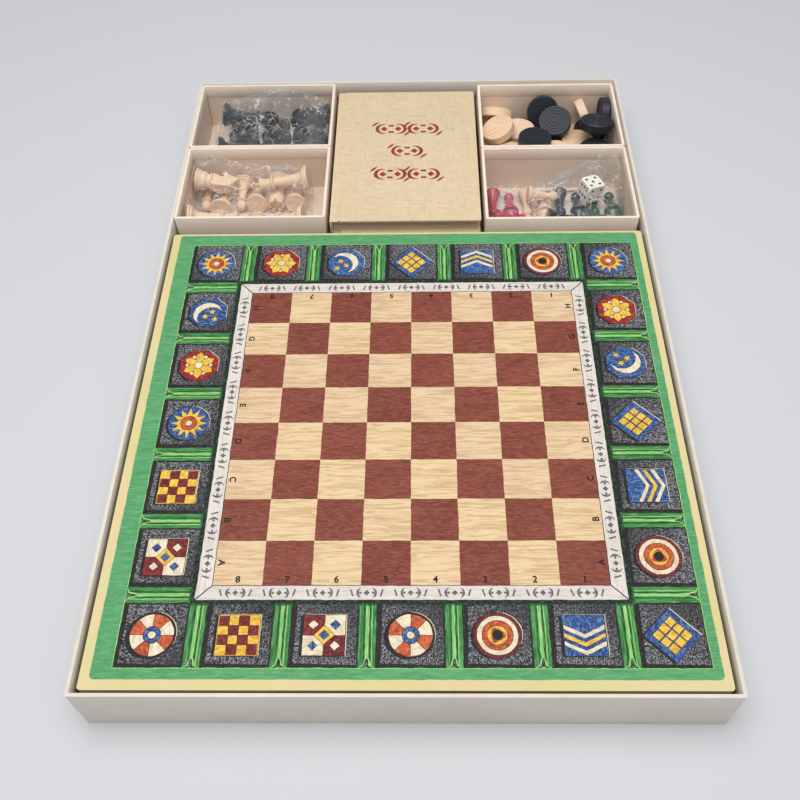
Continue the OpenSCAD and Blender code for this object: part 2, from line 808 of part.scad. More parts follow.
module bag_counters() {
    color("white", 0.4) translate([counter_bag[0], counter_bag[1], bag_z])
        film_bag(counter_bag_w, bag_l, counter_bag_h);
}

box_floor();
box_front_wall();
box_rear_wall();
box_left_wall();
box_right_wall();
box_wrap();
board_riser();
book_riser();
chess_board();
chess_board_face();
chess_board_reverse();
middle_board();
middle_board_face();
middle_board_reverse();
lower_board();
lower_board_face();
lower_board_reverse();
book_back_cover();
book_spine();
book_pages();
book_front_cover();
tray_rear_left();
tray_rear_left_wrap();
tray_front_left();
tray_front_left_wrap();
tray_rear_right();
tray_rear_right_wrap();
tray_front_right();
tray_front_right_wrap();
bag_dark_chessmen();
bag_light_chessmen();
bag_counters();
dark_king();
dark_queen();
dark_bishops();
dark_knights();
dark_rooks();
dark_pawns();
light_king();
light_queen();
light_bishops();
light_knights();
light_rooks();
light_pawns();
red_cone_pawns();
natural_cone_pawns();
blue_cone_pawns();
green_cone_pawns();
die();
light_draughts_lower();
dark_draughts_lower();
light_draughts_upper();
dark_draughts_upper();
light_draught_left();
light_draught_rear();
dark_draught_front();
dark_draught_middle();
dark_draught_right();
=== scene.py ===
import bpy
import bmesh
import json
import math
import random
from mathutils import Matrix, Vector, noise


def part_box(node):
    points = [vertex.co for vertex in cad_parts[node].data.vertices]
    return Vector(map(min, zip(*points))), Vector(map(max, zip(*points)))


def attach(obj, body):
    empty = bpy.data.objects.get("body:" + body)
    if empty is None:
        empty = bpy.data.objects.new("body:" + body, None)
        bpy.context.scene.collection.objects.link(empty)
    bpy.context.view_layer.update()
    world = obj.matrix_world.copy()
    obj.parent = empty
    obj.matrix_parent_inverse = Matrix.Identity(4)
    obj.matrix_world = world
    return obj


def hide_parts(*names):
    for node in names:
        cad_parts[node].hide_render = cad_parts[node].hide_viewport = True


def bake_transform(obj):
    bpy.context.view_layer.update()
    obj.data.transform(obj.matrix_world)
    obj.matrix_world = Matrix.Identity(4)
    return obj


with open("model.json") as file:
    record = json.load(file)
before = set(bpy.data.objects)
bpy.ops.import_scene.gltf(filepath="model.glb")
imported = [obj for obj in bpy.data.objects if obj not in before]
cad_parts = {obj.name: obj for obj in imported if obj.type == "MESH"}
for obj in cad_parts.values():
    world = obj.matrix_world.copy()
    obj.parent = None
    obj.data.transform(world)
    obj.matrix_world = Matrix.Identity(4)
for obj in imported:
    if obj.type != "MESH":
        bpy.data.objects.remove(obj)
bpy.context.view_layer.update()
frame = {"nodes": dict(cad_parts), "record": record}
nodes = frame["nodes"]
bodyOf = {node: body for body, members in frame["record"]["behaviour"]["bodies"].items()
          for node in members}
slotOf = {part["node"]: part["material_slot"] for part in frame["record"]["subparts"]}
mm = 0.001
print("frame loaded,", len(nodes), "nodes")

# camera, floor and light

cameraView = {"place": (0.0092, -0.4151, 0.5052), "turn": (36.52, 1.154, 0.509),
              "lens": 42.21, "sensorWidth": 36.0}
studio = {
    "floorColour": (206, 208, 212), "floorSize": 6.0,
    "skyColour": (0.955, 0.975, 1.0), "skyStrength": 0.36,
    "keySize": 1.2, "keyPower": 18.6, "keyPlace": (-0.12, -0.14, 1.45), "keyColour": (1.0, 0.985, 0.965),
    "fillSize": 1.2, "fillPower": 3.0, "fillPlace": (0.6, -0.7, 1.4),
}


def linearLight(value):
    value /= 255
    return value / 12.92 if value <= 0.04045 else ((value + 0.055) / 1.055) ** 2.4


def tint(red, green, blue):
    return linearLight(red), linearLight(green), linearLight(blue), 1.0


def aimedLamp(name, place, size, power, colour=(1, 1, 1)):
    light = bpy.data.lights.new(name, "AREA")
    light.shape, light.size, light.energy, light.color = "SQUARE", size, power, colour
    lamp = bpy.data.objects.new(name, light)
    lamp.location = place
    lamp.rotation_euler = (-Vector(place)).to_track_quat("-Z", "Y").to_euler()
    bpy.context.scene.collection.objects.link(lamp)


cameraData = bpy.data.cameras.new("photoCamera")
cameraData.lens, cameraData.sensor_width = cameraView["lens"], cameraView["sensorWidth"]
cameraData.clip_start = 0.01
camera = bpy.data.objects.new("photoCamera", cameraData)
camera.location = cameraView["place"]
camera.rotation_euler = [math.radians(angle) for angle in cameraView["turn"]]
bpy.context.scene.collection.objects.link(camera)
bpy.context.scene.camera = camera
bpy.context.scene.view_settings.view_transform = "Standard"

world = bpy.data.worlds.new("paleRoom")
bpy.context.scene.world = world
world.use_nodes = True
sky = world.node_tree.nodes["Background"]
sky.inputs["Color"].default_value = (*studio["skyColour"], 1)
sky.inputs["Strength"].default_value = studio["skyStrength"]
aimedLamp("windowLight", studio["keyPlace"], studio["keySize"], studio["keyPower"],
          studio["keyColour"])
aimedLamp("roomLight", studio["fillPlace"], studio["fillSize"], studio["fillPower"])

# small helpers for shader nodes


def addNode(tree, kind, inputs, **settings):
    node = tree.nodes.new(kind)
    for key, value in settings.items():
        setattr(node, key, value)
    for key, value in inputs.items():
        if isinstance(value, bpy.types.NodeSocket):
            tree.links.new(value, node.inputs[key])
        else:
            node.inputs[key].default_value = value
    return node


def mixColours(tree, factor, first, second):
    return addNode(tree, "ShaderNodeMix", {0: factor, 6: first, 7: second},
                   data_type="RGBA").outputs[2]


def calculate(tree, operation, first, second=0.0, clamp=False):
    return addNode(tree, "ShaderNodeMath", {0: first, 1: second},
                   operation=operation, use_clamp=clamp).outputs[0]


def remap(tree, value, low, high, newLow=0.0, newHigh=1.0, smooth=False):
    return addNode(tree, "ShaderNodeMapRange",
                   {"Value": value, "From Min": low, "From Max": high,
                    "To Min": newLow, "To Max": newHigh},
                   interpolation_type="SMOOTHSTEP" if smooth else "LINEAR").outputs[0]


def noiseOf(tree, vector, scale, detail=3.0, roughness=0.5, distortion=0.0):
    return addNode(tree, "ShaderNodeTexNoise",
                   {"Vector": vector, "Scale": scale, "Detail": detail,
                    "Roughness": roughness, "Distortion": distortion}).outputs[0]


def effectGroup(name, inputs, outputs):
    tree = bpy.data.node_groups.new(name, "ShaderNodeTree")
    for label, kind, value in inputs:
        socket = tree.interface.new_socket(label, in_out="INPUT", socket_type="NodeSocket" + kind)
        if value is not None:
            socket.default_value = value
    for label, kind in outputs:
        tree.interface.new_socket(label, in_out="OUTPUT", socket_type="NodeSocket" + kind)
    return tree, tree.nodes.new("NodeGroupInput").outputs, tree.nodes.new("NodeGroupOutput").inputs


def useEffect(tree, group, inputs):
    return addNode(tree, "ShaderNodeGroup", inputs, node_tree=group).outputs


def scaledBy(tree, vector, scale):
    return addNode(tree, "ShaderNodeVectorMath", {0: vector, 1: scale}, operation="MULTIPLY").outputs[0]


def driftedBy(tree, vector, scale, reach):
    drift = addNode(tree, "ShaderNodeTexNoise", {"Vector": vector, "Scale": scale}).outputs[1]
    return addNode(tree, "ShaderNodeVectorMath", {0: vector, 1: scaledBy(tree, drift, (reach,) * 3)},
                   operation="ADD").outputs[0]


def axesOf(tree, vector):
    return addNode(tree, "ShaderNodeSeparateXYZ", {0: vector}).outputs


# effects shared by several finishes

# fine tooth of paper and card, and slow patches of tone
paperTooth, given, put = effectGroup(
    "paperTooth",
    [("Coordinates", "Vector", None), ("Scale", "Float", 900.0), ("Patches", "Float", 14.0)],
    [("Height", "Float"), ("Patch", "Float"), ("Fibre", "Float")])
paperTooth.links.new(noiseOf(paperTooth, given["Coordinates"], given["Scale"], 5.0, 0.65), put["Height"])
paperTooth.links.new(
    remap(paperTooth, noiseOf(paperTooth, given["Coordinates"], given["Patches"], 3.0, 0.55), 0.3, 0.7),
    put["Patch"])
fibreNoise = noiseOf(paperTooth, scaledBy(paperTooth, given["Coordinates"], (1.0, 0.25, 0.6)),
                     given["Scale"], 2.0, 0.5, 1.5)
paperTooth.links.new(remap(paperTooth, fibreNoise, 0.62, 0.74), put["Fibre"])

# streaks drawn out along one axis, for grain and for pencil or brush strokes
grainStreaks, given, put = effectGroup(
    "grainStreaks",
    [("Coordinates", "Vector", None), ("Stretch", "Vector", (20.0, 200.0, 20.0)),
     ("Waver", "Float", 0.6)],
    [("Streak", "Float"), ("Fine", "Float")])
drawnOut = scaledBy(grainStreaks, given["Coordinates"], given["Stretch"])
grainStreaks.links.new(
    remap(grainStreaks, noiseOf(grainStreaks, drawnOut, 1.0, 3.0, 0.55, given["Waver"]), 0.28, 0.72),
    put["Streak"])
grainStreaks.links.new(
    remap(grainStreaks, noiseOf(grainStreaks, drawnOut, 2.2, 4.0, 0.6, given["Waver"]), 0.3, 0.7),
    put["Fine"])

# uneven cover of printed colour, in clouds
inkCover, given, put = effectGroup(
    "inkCover", [("Coordinates", "Vector", None), ("Cloud", "Float", 60.0)], [("Cloud", "Float")])
inkCover.links.new(
    remap(inkCover, noiseOf(inkCover, given["Coordinates"], given["Cloud"], 6.0, 0.62, 0.4), 0.3, 0.7),
    put["Cloud"])

# threads of a plain weave along X and Y, with slubs
clothWeave, given, put = effectGroup(
    "clothWeave",
    [("Coordinates", "Vector", None), ("Threads", "Float", 1400.0)],
    [("Height", "Float"), ("Slub", "Float"), ("Fleck", "Float")])
bent = driftedBy(clothWeave, given["Coordinates"], 90.0, 0.0006)
axes = axesOf(clothWeave, bent)
across = calculate(clothWeave, "SINE", calculate(clothWeave, "MULTIPLY", axes[0], given["Threads"]))
along = calculate(clothWeave, "SINE", calculate(clothWeave, "MULTIPLY", axes[1], given["Threads"]))
clothWeave.links.new(calculate(clothWeave, "MULTIPLY", across, along), put["Height"])
slubAcross = noiseOf(clothWeave, scaledBy(clothWeave, bent, (60.0, 900.0, 60.0)), 1.0, 2.0)
slubAlong = noiseOf(clothWeave, scaledBy(clothWeave, bent, (900.0, 60.0, 60.0)), 1.0, 2.0)
clothWeave.links.new(
    remap(clothWeave, calculate(clothWeave, "MAXIMUM", slubAcross, slubAlong), 0.5, 0.75), put["Slub"])
fleckNoise = noiseOf(clothWeave, given["Coordinates"], 420.0, 2.0, 0.5)
clothWeave.links.new(remap(clothWeave, fleckNoise, 0.62, 0.72), put["Fleck"])

# worn or soiled line near a given height, such as the rim of a box
rimWear, given, put = effectGroup(
    "rimWear",
    [("Coordinates", "Vector", None), ("Height", "Float", 0.041), ("Depth", "Float", 0.0012)],
    [("Wear", "Float")])
upward = axesOf(rimWear, given["Coordinates"])[2]
nearRim = remap(rimWear, calculate(rimWear, "SUBTRACT", given["Height"], upward), given["Depth"], 0.0)
worn = remap(rimWear, noiseOf(rimWear, given["Coordinates"], 160.0, 5.0, 0.7), 0.42, 0.62)
rimWear.links.new(calculate(rimWear, "MULTIPLY", nearRim, worn), put["Wear"])

# thin crumpled film: painted glints, bright lines along the creases between flat facets, in patches, and a
# drifting haze
filmGlintsAndHaze, given, put = effectGroup(
    "filmGlintsAndHaze",
    [("Coordinates", "Vector", None), ("Cells", "Float", 70.0)],
    [("CreaseGlint", "Float"), ("Haze", "Float")])
bentFilm = driftedBy(filmGlintsAndHaze, given["Coordinates"], 60.0, 0.014)
glintLines = []
for cellShare, lineWidth in ((1.0, 0.045), (2.6, 0.07)):
    edge = addNode(filmGlintsAndHaze, "ShaderNodeTexVoronoi",
                   {"Vector": bentFilm,
                    "Scale": calculate(filmGlintsAndHaze, "MULTIPLY", given["Cells"], cellShare)},
                   feature="DISTANCE_TO_EDGE").outputs[0]
    patch = remap(filmGlintsAndHaze, noiseOf(filmGlintsAndHaze, given["Coordinates"], 55.0 * cellShare, 2.0), 0.5, 0.62)
    glintLines.append(calculate(filmGlintsAndHaze, "MULTIPLY", patch,
                                 remap(filmGlintsAndHaze, edge, lineWidth, 0.0, smooth=True)))
filmGlintsAndHaze.links.new(calculate(filmGlintsAndHaze, "MAXIMUM", *glintLines), put["CreaseGlint"])
filmGlintsAndHaze.links.new(
    remap(filmGlintsAndHaze, noiseOf(filmGlintsAndHaze, scaledBy(filmGlintsAndHaze, bentFilm, (1.0, 0.45, 1.0)), 75.0, 4.0, 0.6),
          0.42, 0.72), put["Haze"])


def startFinish(name, roughness=0.6, **settings):
    material = bpy.data.materials.new(name)
    material.use_nodes = True
    tree = material.node_tree
    shader = tree.nodes["Principled BSDF"]
    shader.inputs["Roughness"].default_value = roughness
    for key, value in settings.items():
        shader.inputs[key.replace("_", " ")].default_value = value
    coordinates = tree.nodes.new("ShaderNodeTexCoord").outputs["Object"]
    return material, tree, shader.inputs, coordinates


def bumped(tree, shader, height, distance, strength=1.0):
    bump = addNode(tree, "ShaderNodeBump", {"Height": height, "Distance": distance, "Strength": strength})
    tree.links.new(bump.outputs[0], shader["Normal"])


def paperFinish(name, colour, shade, rimHeight=None, roughness=0.62, toothScale=900.0, bump=0.00004):
    material, tree, shader, coordinates = startFinish(name, roughness)
    tooth = useEffect(tree, paperTooth, {"Coordinates": coordinates, "Scale": toothScale})
    toned = mixColours(tree, tooth["Patch"], tint(*colour), tint(*shade))
    toned = mixColours(tree, calculate(tree, "MULTIPLY", tooth["Fibre"], 0.35), toned,
                       tint(*[channel * 0.86 for channel in shade]))
    if rimHeight:
        wear = useEffect(tree, rimWear, {"Coordinates": coordinates, "Height": rimHeight})
        toned = mixColours(tree, calculate(tree, "MULTIPLY", wear["Wear"], 0.18), toned,
                           tint(*[channel * 0.8 for channel in shade]))
    tree.links.new(toned, shader["Base Color"])
    tree.links.new(remap(tree, tooth["Height"], 0.3, 0.7, roughness - 0.06, roughness + 0.08),
                   shader["Roughness"])
    bumped(tree, shader, tooth["Height"], bump)
    return material


def drawnCoordinates(tree, name):
    return addNode(tree, "ShaderNodeAttribute", {}, attribute_name=name).outputs["Vector"]


def printFinish(name, colour, shade, stroke, stretch, share=0.5, pale=None, paleShare=0.3,
                cloud=60.0, lit=None, onPlate=True, perPlate=0.35, roughness=0.6):
    material, tree, shader, coordinates = startFinish(name, roughness, Specular_IOR_Level=0.22)
    if onPlate:
        coordinates = drawnCoordinates(tree, "drawn")
        spread = axesOf(tree, drawnCoordinates(tree, "spread"))
    cover = useEffect(tree, inkCover, {"Coordinates": coordinates, "Cloud": cloud})
    grain = useEffect(tree, grainStreaks, {"Coordinates": coordinates, "Stretch": (*stretch, 1.0)})
    tone = cover["Cloud"]
    if onPlate:
        tone = calculate(tree, "ADD", calculate(tree, "MULTIPLY", tone, 1.0 - perPlate),
                         calculate(tree, "MULTIPLY", spread[2], perPlate), clamp=True)
    toned = mixColours(tree, tone, tint(*colour), tint(*shade))
    strokes = remap(tree, grain["Streak"], 0.38, 0.68, smooth=True)
    toned = mixColours(tree, calculate(tree, "MULTIPLY", strokes, share), toned, tint(*stroke))
    if pale:
        paleStrokes = remap(tree, grain["Fine"], 0.46, 0.74, smooth=True)
        if lit:
            corner = calculate(tree, "ADD", calculate(tree, "MULTIPLY", spread[0], lit[0]),
                               calculate(tree, "MULTIPLY", spread[1], lit[1]))
            paleStrokes = calculate(tree, "MULTIPLY", paleStrokes, remap(tree, corner, 0.1, 0.8, 0.35, 1.3),
                                    clamp=True)
        toned = mixColours(tree, calculate(tree, "MULTIPLY", paleStrokes, paleShare), toned, tint(*pale))
    tree.links.new(toned, shader["Base Color"])
    tree.links.new(remap(tree, cover["Cloud"], 0, 1, roughness - 0.06, roughness + 0.1),
                   shader["Roughness"])
    bumped(tree, shader, grain["Fine"], 0.00003)
    return material


def woodFinish(name, colour, shade, roughness, coat=0.0, grainDepth=0.00006, pores=0.3):
    material, tree, shader, coordinates = startFinish(name, roughness, Coat_Weight=coat,
                                                      Coat_Roughness=0.2)
    turned = addNode(tree, "ShaderNodeMapping", {"Vector": coordinates,
                                                 "Rotation": (0.35, 0.5, 0.3)}).outputs[0]
    grain = useEffect(tree, grainStreaks,
                      {"Coordinates": turned, "Stretch": (90.0, 620.0, 620.0), "Waver": 0.8})
    toned = mixColours(tree, grain["Streak"], tint(*colour), tint(*shade))
    toned = mixColours(tree, calculate(tree, "MULTIPLY", grain["Fine"], pores), toned,
                       tint(*[channel * 0.82 for channel in shade]))
    tree.links.new(toned, shader["Base Color"])
    tree.links.new(remap(tree, grain["Fine"], 0, 1, roughness - 0.05, roughness + 0.1),
                   shader["Roughness"])
    bumped(tree, shader, grain["Fine"], grainDepth)
    return material


def linenFinish(name, colour, shade, fleck):
    material, tree, shader, coordinates = startFinish(name, 0.9, Sheen_Weight=0.1,
                                                      Specular_IOR_Level=0.2)
    weave = useEffect(tree, clothWeave, {"Coordinates": coordinates})
    cover = useEffect(tree, inkCover, {"Coordinates": coordinates, "Cloud": 24.0})
    threads = []
    for stretch in ((130.0, 640.0, 300.0), (640.0, 130.0, 300.0)):
        drawn = noiseOf(tree, scaledBy(tree, coordinates, stretch), 1.0, 4.0, 0.62)
        threads.append(remap(tree, drawn, 0.5, 0.7))
    toned = mixColours(tree, calculate(tree, "MULTIPLY", cover["Cloud"], 0.45), tint(*colour), tint(*shade))
    toned = mixColours(tree, calculate(tree, "MULTIPLY", threads[0], 0.42), toned, tint(*fleck))
    toned = mixColours(tree, calculate(tree, "MULTIPLY", threads[1], 0.34), toned, tint(*fleck))
    toned = mixColours(tree, calculate(tree, "MULTIPLY", weave["Fleck"], 0.22), toned, tint(*shade))
    tree.links.new(toned, shader["Base Color"])
    rise = calculate(tree, "ADD", weave["Height"], calculate(tree, "MULTIPLY", weave["Slub"], 2.0))
    bumped(tree, shader, rise, 0.00008)
    return material


def leavesFinish(name, colour, gapShade, pitch):
    material, tree, shader, coordinates = startFinish(name, 0.8)
    height = axesOf(tree, coordinates)[2]
    waver = noiseOf(tree, scaledBy(tree, coordinates, (40.0, 40.0, 400.0)), 1.0, 2.0)
    line = calculate(tree, "SINE", calculate(tree, "ADD", calculate(tree, "MULTIPLY", height, pitch),
                                             calculate(tree, "MULTIPLY", waver, 9.0)))
    depth = remap(tree, line, -0.2, 1.0)
    tone = useEffect(tree, inkCover, {"Coordinates": coordinates, "Cloud": 30.0})
    # painted shade: fine darker lines on the page edges where the leaves meet; the same shade colour also
    # darkens the slow clouds of tone
    toned = mixColours(tree, calculate(tree, "MULTIPLY", depth, 0.55), tint(*colour), tint(*gapShade))
    toned = mixColours(tree, calculate(tree, "MULTIPLY", tone["Cloud"], 0.08), toned, tint(*gapShade))
    tree.links.new(toned, shader["Base Color"])
    bumped(tree, shader, line, 0.00008)
    return material


def filmFinish(name, haze, thinnest, thickest, hazeShare, glintShare):
    material, tree, shader, coordinates = startFinish(name, 0.12, Specular_IOR_Level=0.9)
    facing = addNode(tree, "ShaderNodeLayerWeight", {"Blend": 0.25}).outputs["Facing"]
    glintsAndHaze = useEffect(tree, filmGlintsAndHaze, {"Coordinates": coordinates})
    veil = calculate(tree, "ADD", remap(tree, facing, 0.0, 1.0, thinnest, thickest),
                     calculate(tree, "MULTIPLY", glintsAndHaze["Haze"], hazeShare), clamp=True)
    # painted glints: along the creases the film turns white and more opaque, standing in for highlights
    veil = calculate(tree, "MAXIMUM", veil, calculate(tree, "MULTIPLY", glintsAndHaze["CreaseGlint"], glintShare))
    tree.links.new(mixColours(tree, glintsAndHaze["CreaseGlint"], tint(*haze), tint(252, 252, 252)),
                   shader["Base Color"])
    tree.links.new(veil, shader["Alpha"])
    bumped(tree, shader, noiseOf(tree, coordinates, 220.0, 4.0, 0.6), 0.0003, 0.6)
    return material


# the layout of the printed board, in millimetres
printLayout = {
    "field": (3.6, -85.05), "square": 27.0, "bandWidth": 9.0,
    "ringInner": 118.8, "ringOuter": 154.2, "panelsPerSide": 7,
    "green": (-161.7, -245.4, 162.9, 79.4), "greenCorner": 2.5, "layer": 0.035,
    "wander": 0.32, "wanderStep": 2.0, "wanderLength": 4.0,
}

finishes = {
    "box_card": paperFinish("greyCard", (172, 158, 138), (150, 136, 118), toothScale=500.0, bump=0.0001),
    "board_card": paperFinish("boardCore", (176, 162, 140), (152, 138, 116), toothScale=500.0, bump=0.0001),
    "box_paper": paperFinish("boxPaper", (228, 220, 209), (219, 211, 199), 0.041),
    "tray_card": paperFinish("trayCard", (238, 220, 204), (229, 210, 192)),
    "tray_paper": paperFinish("trayPaper", (248, 233, 218), (241, 224, 208), 0.0415),
    "chess_print": printFinish("boardMargin", (218, 208, 150), (210, 198, 140), (226, 200, 160),
                               (16.0, 16.0), 0.6, (206, 210, 156), 0.4, 12.0, onPlate=False),
    "book_linen": linenFinish("bookLinen", (224, 203, 170), (213, 191, 155), (184, 166, 134)),
    "book_paper": leavesFinish("bookLeaves", (246, 224, 196), (196, 166, 134), 9000.0),
    "dark_wood": woodFinish("blackStain", (26, 29, 38), (36, 41, 52), 0.44, pores=0.5),
    "light_wood": woodFinish("plainBeech", (247, 219, 188), (236, 203, 168), 0.5),
    "red_wood": woodFinish("redPaint", (196, 34, 84), (178, 26, 72), 0.22, 0.5, 0.00002, 0.1),
    "blue_wood": woodFinish("bluePaint", (28, 42, 62), (22, 34, 52), 0.25, 0.5, 0.00002, 0.1),
    "green_wood": woodFinish("greenPaint", (36, 92, 62), (28, 78, 52), 0.25, 0.5, 0.00002, 0.1),
    "die_plastic": paperFinish("dieIvory", (248, 244, 232), (240, 234, 220), roughness=0.3, bump=0.00001),
    "bag_film": filmFinish("bagFilm", (214, 216, 219), 0.018, 0.34, 0.11, 0.5),
}
# plain prints of the faces that the top board hides: colour, shade, strokes
hiddenPrints = {
    "ochre": ((206, 176, 104), (190, 156, 88), (150, 118, 70)),
    "tan": ((201, 162, 100), (184, 142, 84), (140, 104, 62)),
    "brown": ((134, 88, 62), (112, 70, 50), (80, 50, 36)),
    "olive": ((124, 148, 104), (104, 126, 86), (80, 100, 66)),
    "brick": ((180, 104, 74), (156, 84, 60), (110, 60, 44)),
}
for name, colours in hiddenPrints.items():
    finishes[name + "_print"] = printFinish(name + "Print", *colours, (60.0, 500.0), 0.3, onPlate=False)
print("finishes made:", len(finishes))

floorMaterial, floorTree, floorShader, floorCoordinates = startFinish("paleFloor", 0.9)
floorTone = useEffect(floorTree, paperTooth, {"Coordinates": floorCoordinates, "Patches": 1.2})
floorTree.links.new(
    mixColours(floorTree, calculate(floorTree, "MULTIPLY", floorTone["Patch"], 0.5),
               tint(*studio["floorColour"]), tint(*[c * 0.985 for c in studio["floorColour"]])),
    floorShader["Base Color"])
floorMesh = bpy.data.meshes.new("floor")
floorBuild = bmesh.new()
bmesh.ops.create_grid(floorBuild, x_segments=1, y_segments=1, size=studio["floorSize"] / 2)
floorBuild.to_mesh(floorMesh)
floorBuild.free()
floorMesh.materials.append(floorMaterial)
floor = bpy.data.objects.new("floor", floorMesh)
bpy.context.scene.collection.objects.link(floor)

for name, thing in nodes.items():
    for place in thing.material_slots:
        place.link = "OBJECT"
        place.material = finishes[slotOf[name]]
print("finishes given to the CAD nodes")

# rounded copies of CAD nodes


def finishMesh(build, name, materials, body, sharpAngle=35.0, smooth=True):
    for face in build.faces:
        face.smooth = smooth
    for edge in build.edges:
        edge.smooth = not (edge.is_manifold and edge.calc_face_angle(0.0) > math.radians(sharpAngle))
    mesh = bpy.data.meshes.new(name)
    build.to_mesh(mesh)
    build.free()
    for material in materials:
        mesh.materials.append(material)
    piece = bpy.data.objects.new(name, mesh)
    bpy.context.scene.collection.objects.link(piece)
    if body:
        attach(piece, body)
    return piece


def mergedCopy(node):
    build = bmesh.new()
    build.from_mesh(nodes[node].data)
    bmesh.ops.remove_doubles(build, verts=build.verts, dist=0.000002)
    bmesh.ops.dissolve_limit(build, angle_limit=math.radians(0.5), verts=build.verts, edges=build.edges)
    for face in build.faces:
        face.material_index = 0
    return build


def softened(node, name, width, segments=2, fromAngle=40.0):
    build = mergedCopy(node)
    sharp = [edge for edge in build.edges
             if edge.is_manifold and edge.calc_face_angle(0.0) > math.radians(fromAngle)]
    bmesh.ops.bevel(build, geom=sharp, offset=width, offset_type="OFFSET", segments=segments,
                    profile=0.5, affect="EDGES", clamp_overlap=True, material=-1)
    piece = finishMesh(build, name, [finishes[slotOf[node]]], bodyOf[node])
    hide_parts(node)
    return piece


softEdges = {
    "box_wrap": ("boxPaperWrap", 0.10), "box_floor": ("boxFloorCard", 0.15),
    "tray_rear_left_wrap": ("rearLeftTrayPaper", 0.10),
    "tray_front_left_wrap": ("frontLeftTrayPaper", 0.10),
    "tray_rear_right_wrap": ("rearRightTrayPaper", 0.10),
    "tray_front_right_wrap": ("frontRightTrayPaper", 0.10),
    "chess_board": ("topBoardCore", 0.12), "middle_board": ("middleBoardCore", 0.12),
    "lower_board": ("lowerBoardCore", 0.12),
    "book_front_cover": ("bookFrontBoard", 0.5), "book_back_cover": ("bookBackBoard", 0.5),
    "book_spine": ("bookSpineCloth", 0.45),
}
for node, (name, width) in softEdges.items():
    softened(node, name, width * mm)
print("edges rounded on", len(softEdges), "pieces")

# the printed board: thin plates of ink, one layer over the next

inkDraws = random.Random(11)
noise.seed_set(11)


def wandering(points):
    path = []
    for (x0, y0), (x1, y1) in zip(points, points[1:] + points[:1]):
        steps = max(1, round(math.hypot(x1 - x0, y1 - y0) / printLayout["wanderStep"]))
        path += [(x0 + (x1 - x0) * k / steps, y0 + (y1 - y0) * k / steps) for k in range(steps)]
    return path


# a flat sheet of ink, which raisePlates gives its thickness later with all the others
def plate(build, points, low, high, ink, centre=(0, 0), turn=0.0, hand=1.0):
    layers = build.verts.layers.float_vector
    for label in ("drawn", "spread", "rise"):
        if not layers.get(label):
            layers.new(label)
    path = wandering(points)
    if sum(x0 * y1 - x1 * y0 for (x0, y0), (x1, y1) in zip(path, path[1:] + path[:1])) < 0:
        path.reverse()
    left, front = min(x for x, y in path), min(y for x, y in path)
    wide, long = max(x for x, y in path) - left, max(y for x, y in path) - front
    chance = inkDraws.random()
    ring = []
    for (x, y), (atX, atY) in zip(path, placed(path, centre, turn)):
        shift = noise.noise_vector(Vector((atX, atY, 0)) / printLayout["wanderLength"])
        shift *= printLayout["wander"] * hand
        vert = build.verts.new(((atX + shift.x) * mm, (atY + shift.y) * mm, low * mm))
        vert[layers["drawn"]] = (x * mm, y * mm, chance * 7)
        vert[layers["spread"]] = ((x - left) / wide, (y - front) / long, chance)
        vert[layers["rise"]] = (0, 0, (high - low) * mm)
        ring.append(vert)
    build.faces.new(ring).material_index = ink


def raisePlates(build):
    rise = build.verts.layers.float_vector["rise"]
    sheets = [face for face in build.faces if all(vert[rise].z for vert in face.verts)]
    for part in bmesh.ops.extrude_face_region(build, geom=sheets)["geom"]:
        if isinstance(part, bmesh.types.BMVert):
            part.co += part[rise]
    build.verts.layers.float_vector.remove(rise)


def rectangle(x0, y0, x1, y1):
    return [(x0, y0), (x1, y0), (x1, y1), (x0, y1)]


def ringOf(count, radius, centre=(0, 0), turn=0.0, pinch=None):
    points = []
    for step in range(count):
        angle = math.radians(turn) + 2 * math.pi * step / count
        reach = radius if pinch is None or step % 2 == 0 else radius * pinch
        points.append((centre[0] + reach * math.cos(angle), centre[1] + reach * math.sin(angle)))
    return points


def placed(points, centre, turn):
    cosine, sine = math.cos(math.radians(turn)), math.sin(math.radians(turn))
    return [(centre[0] + x * cosine - y * sine, centre[1] + x * sine + y * cosine) for x, y in points]


def sector(radius, start, end, steps=5):
    return [(0, 0)] + [(radius * math.cos(math.radians(start + (end - start) * i / steps)),
                        radius * math.sin(math.radians(start + (end - start) * i / steps)))
                       for i in range(steps + 1)]


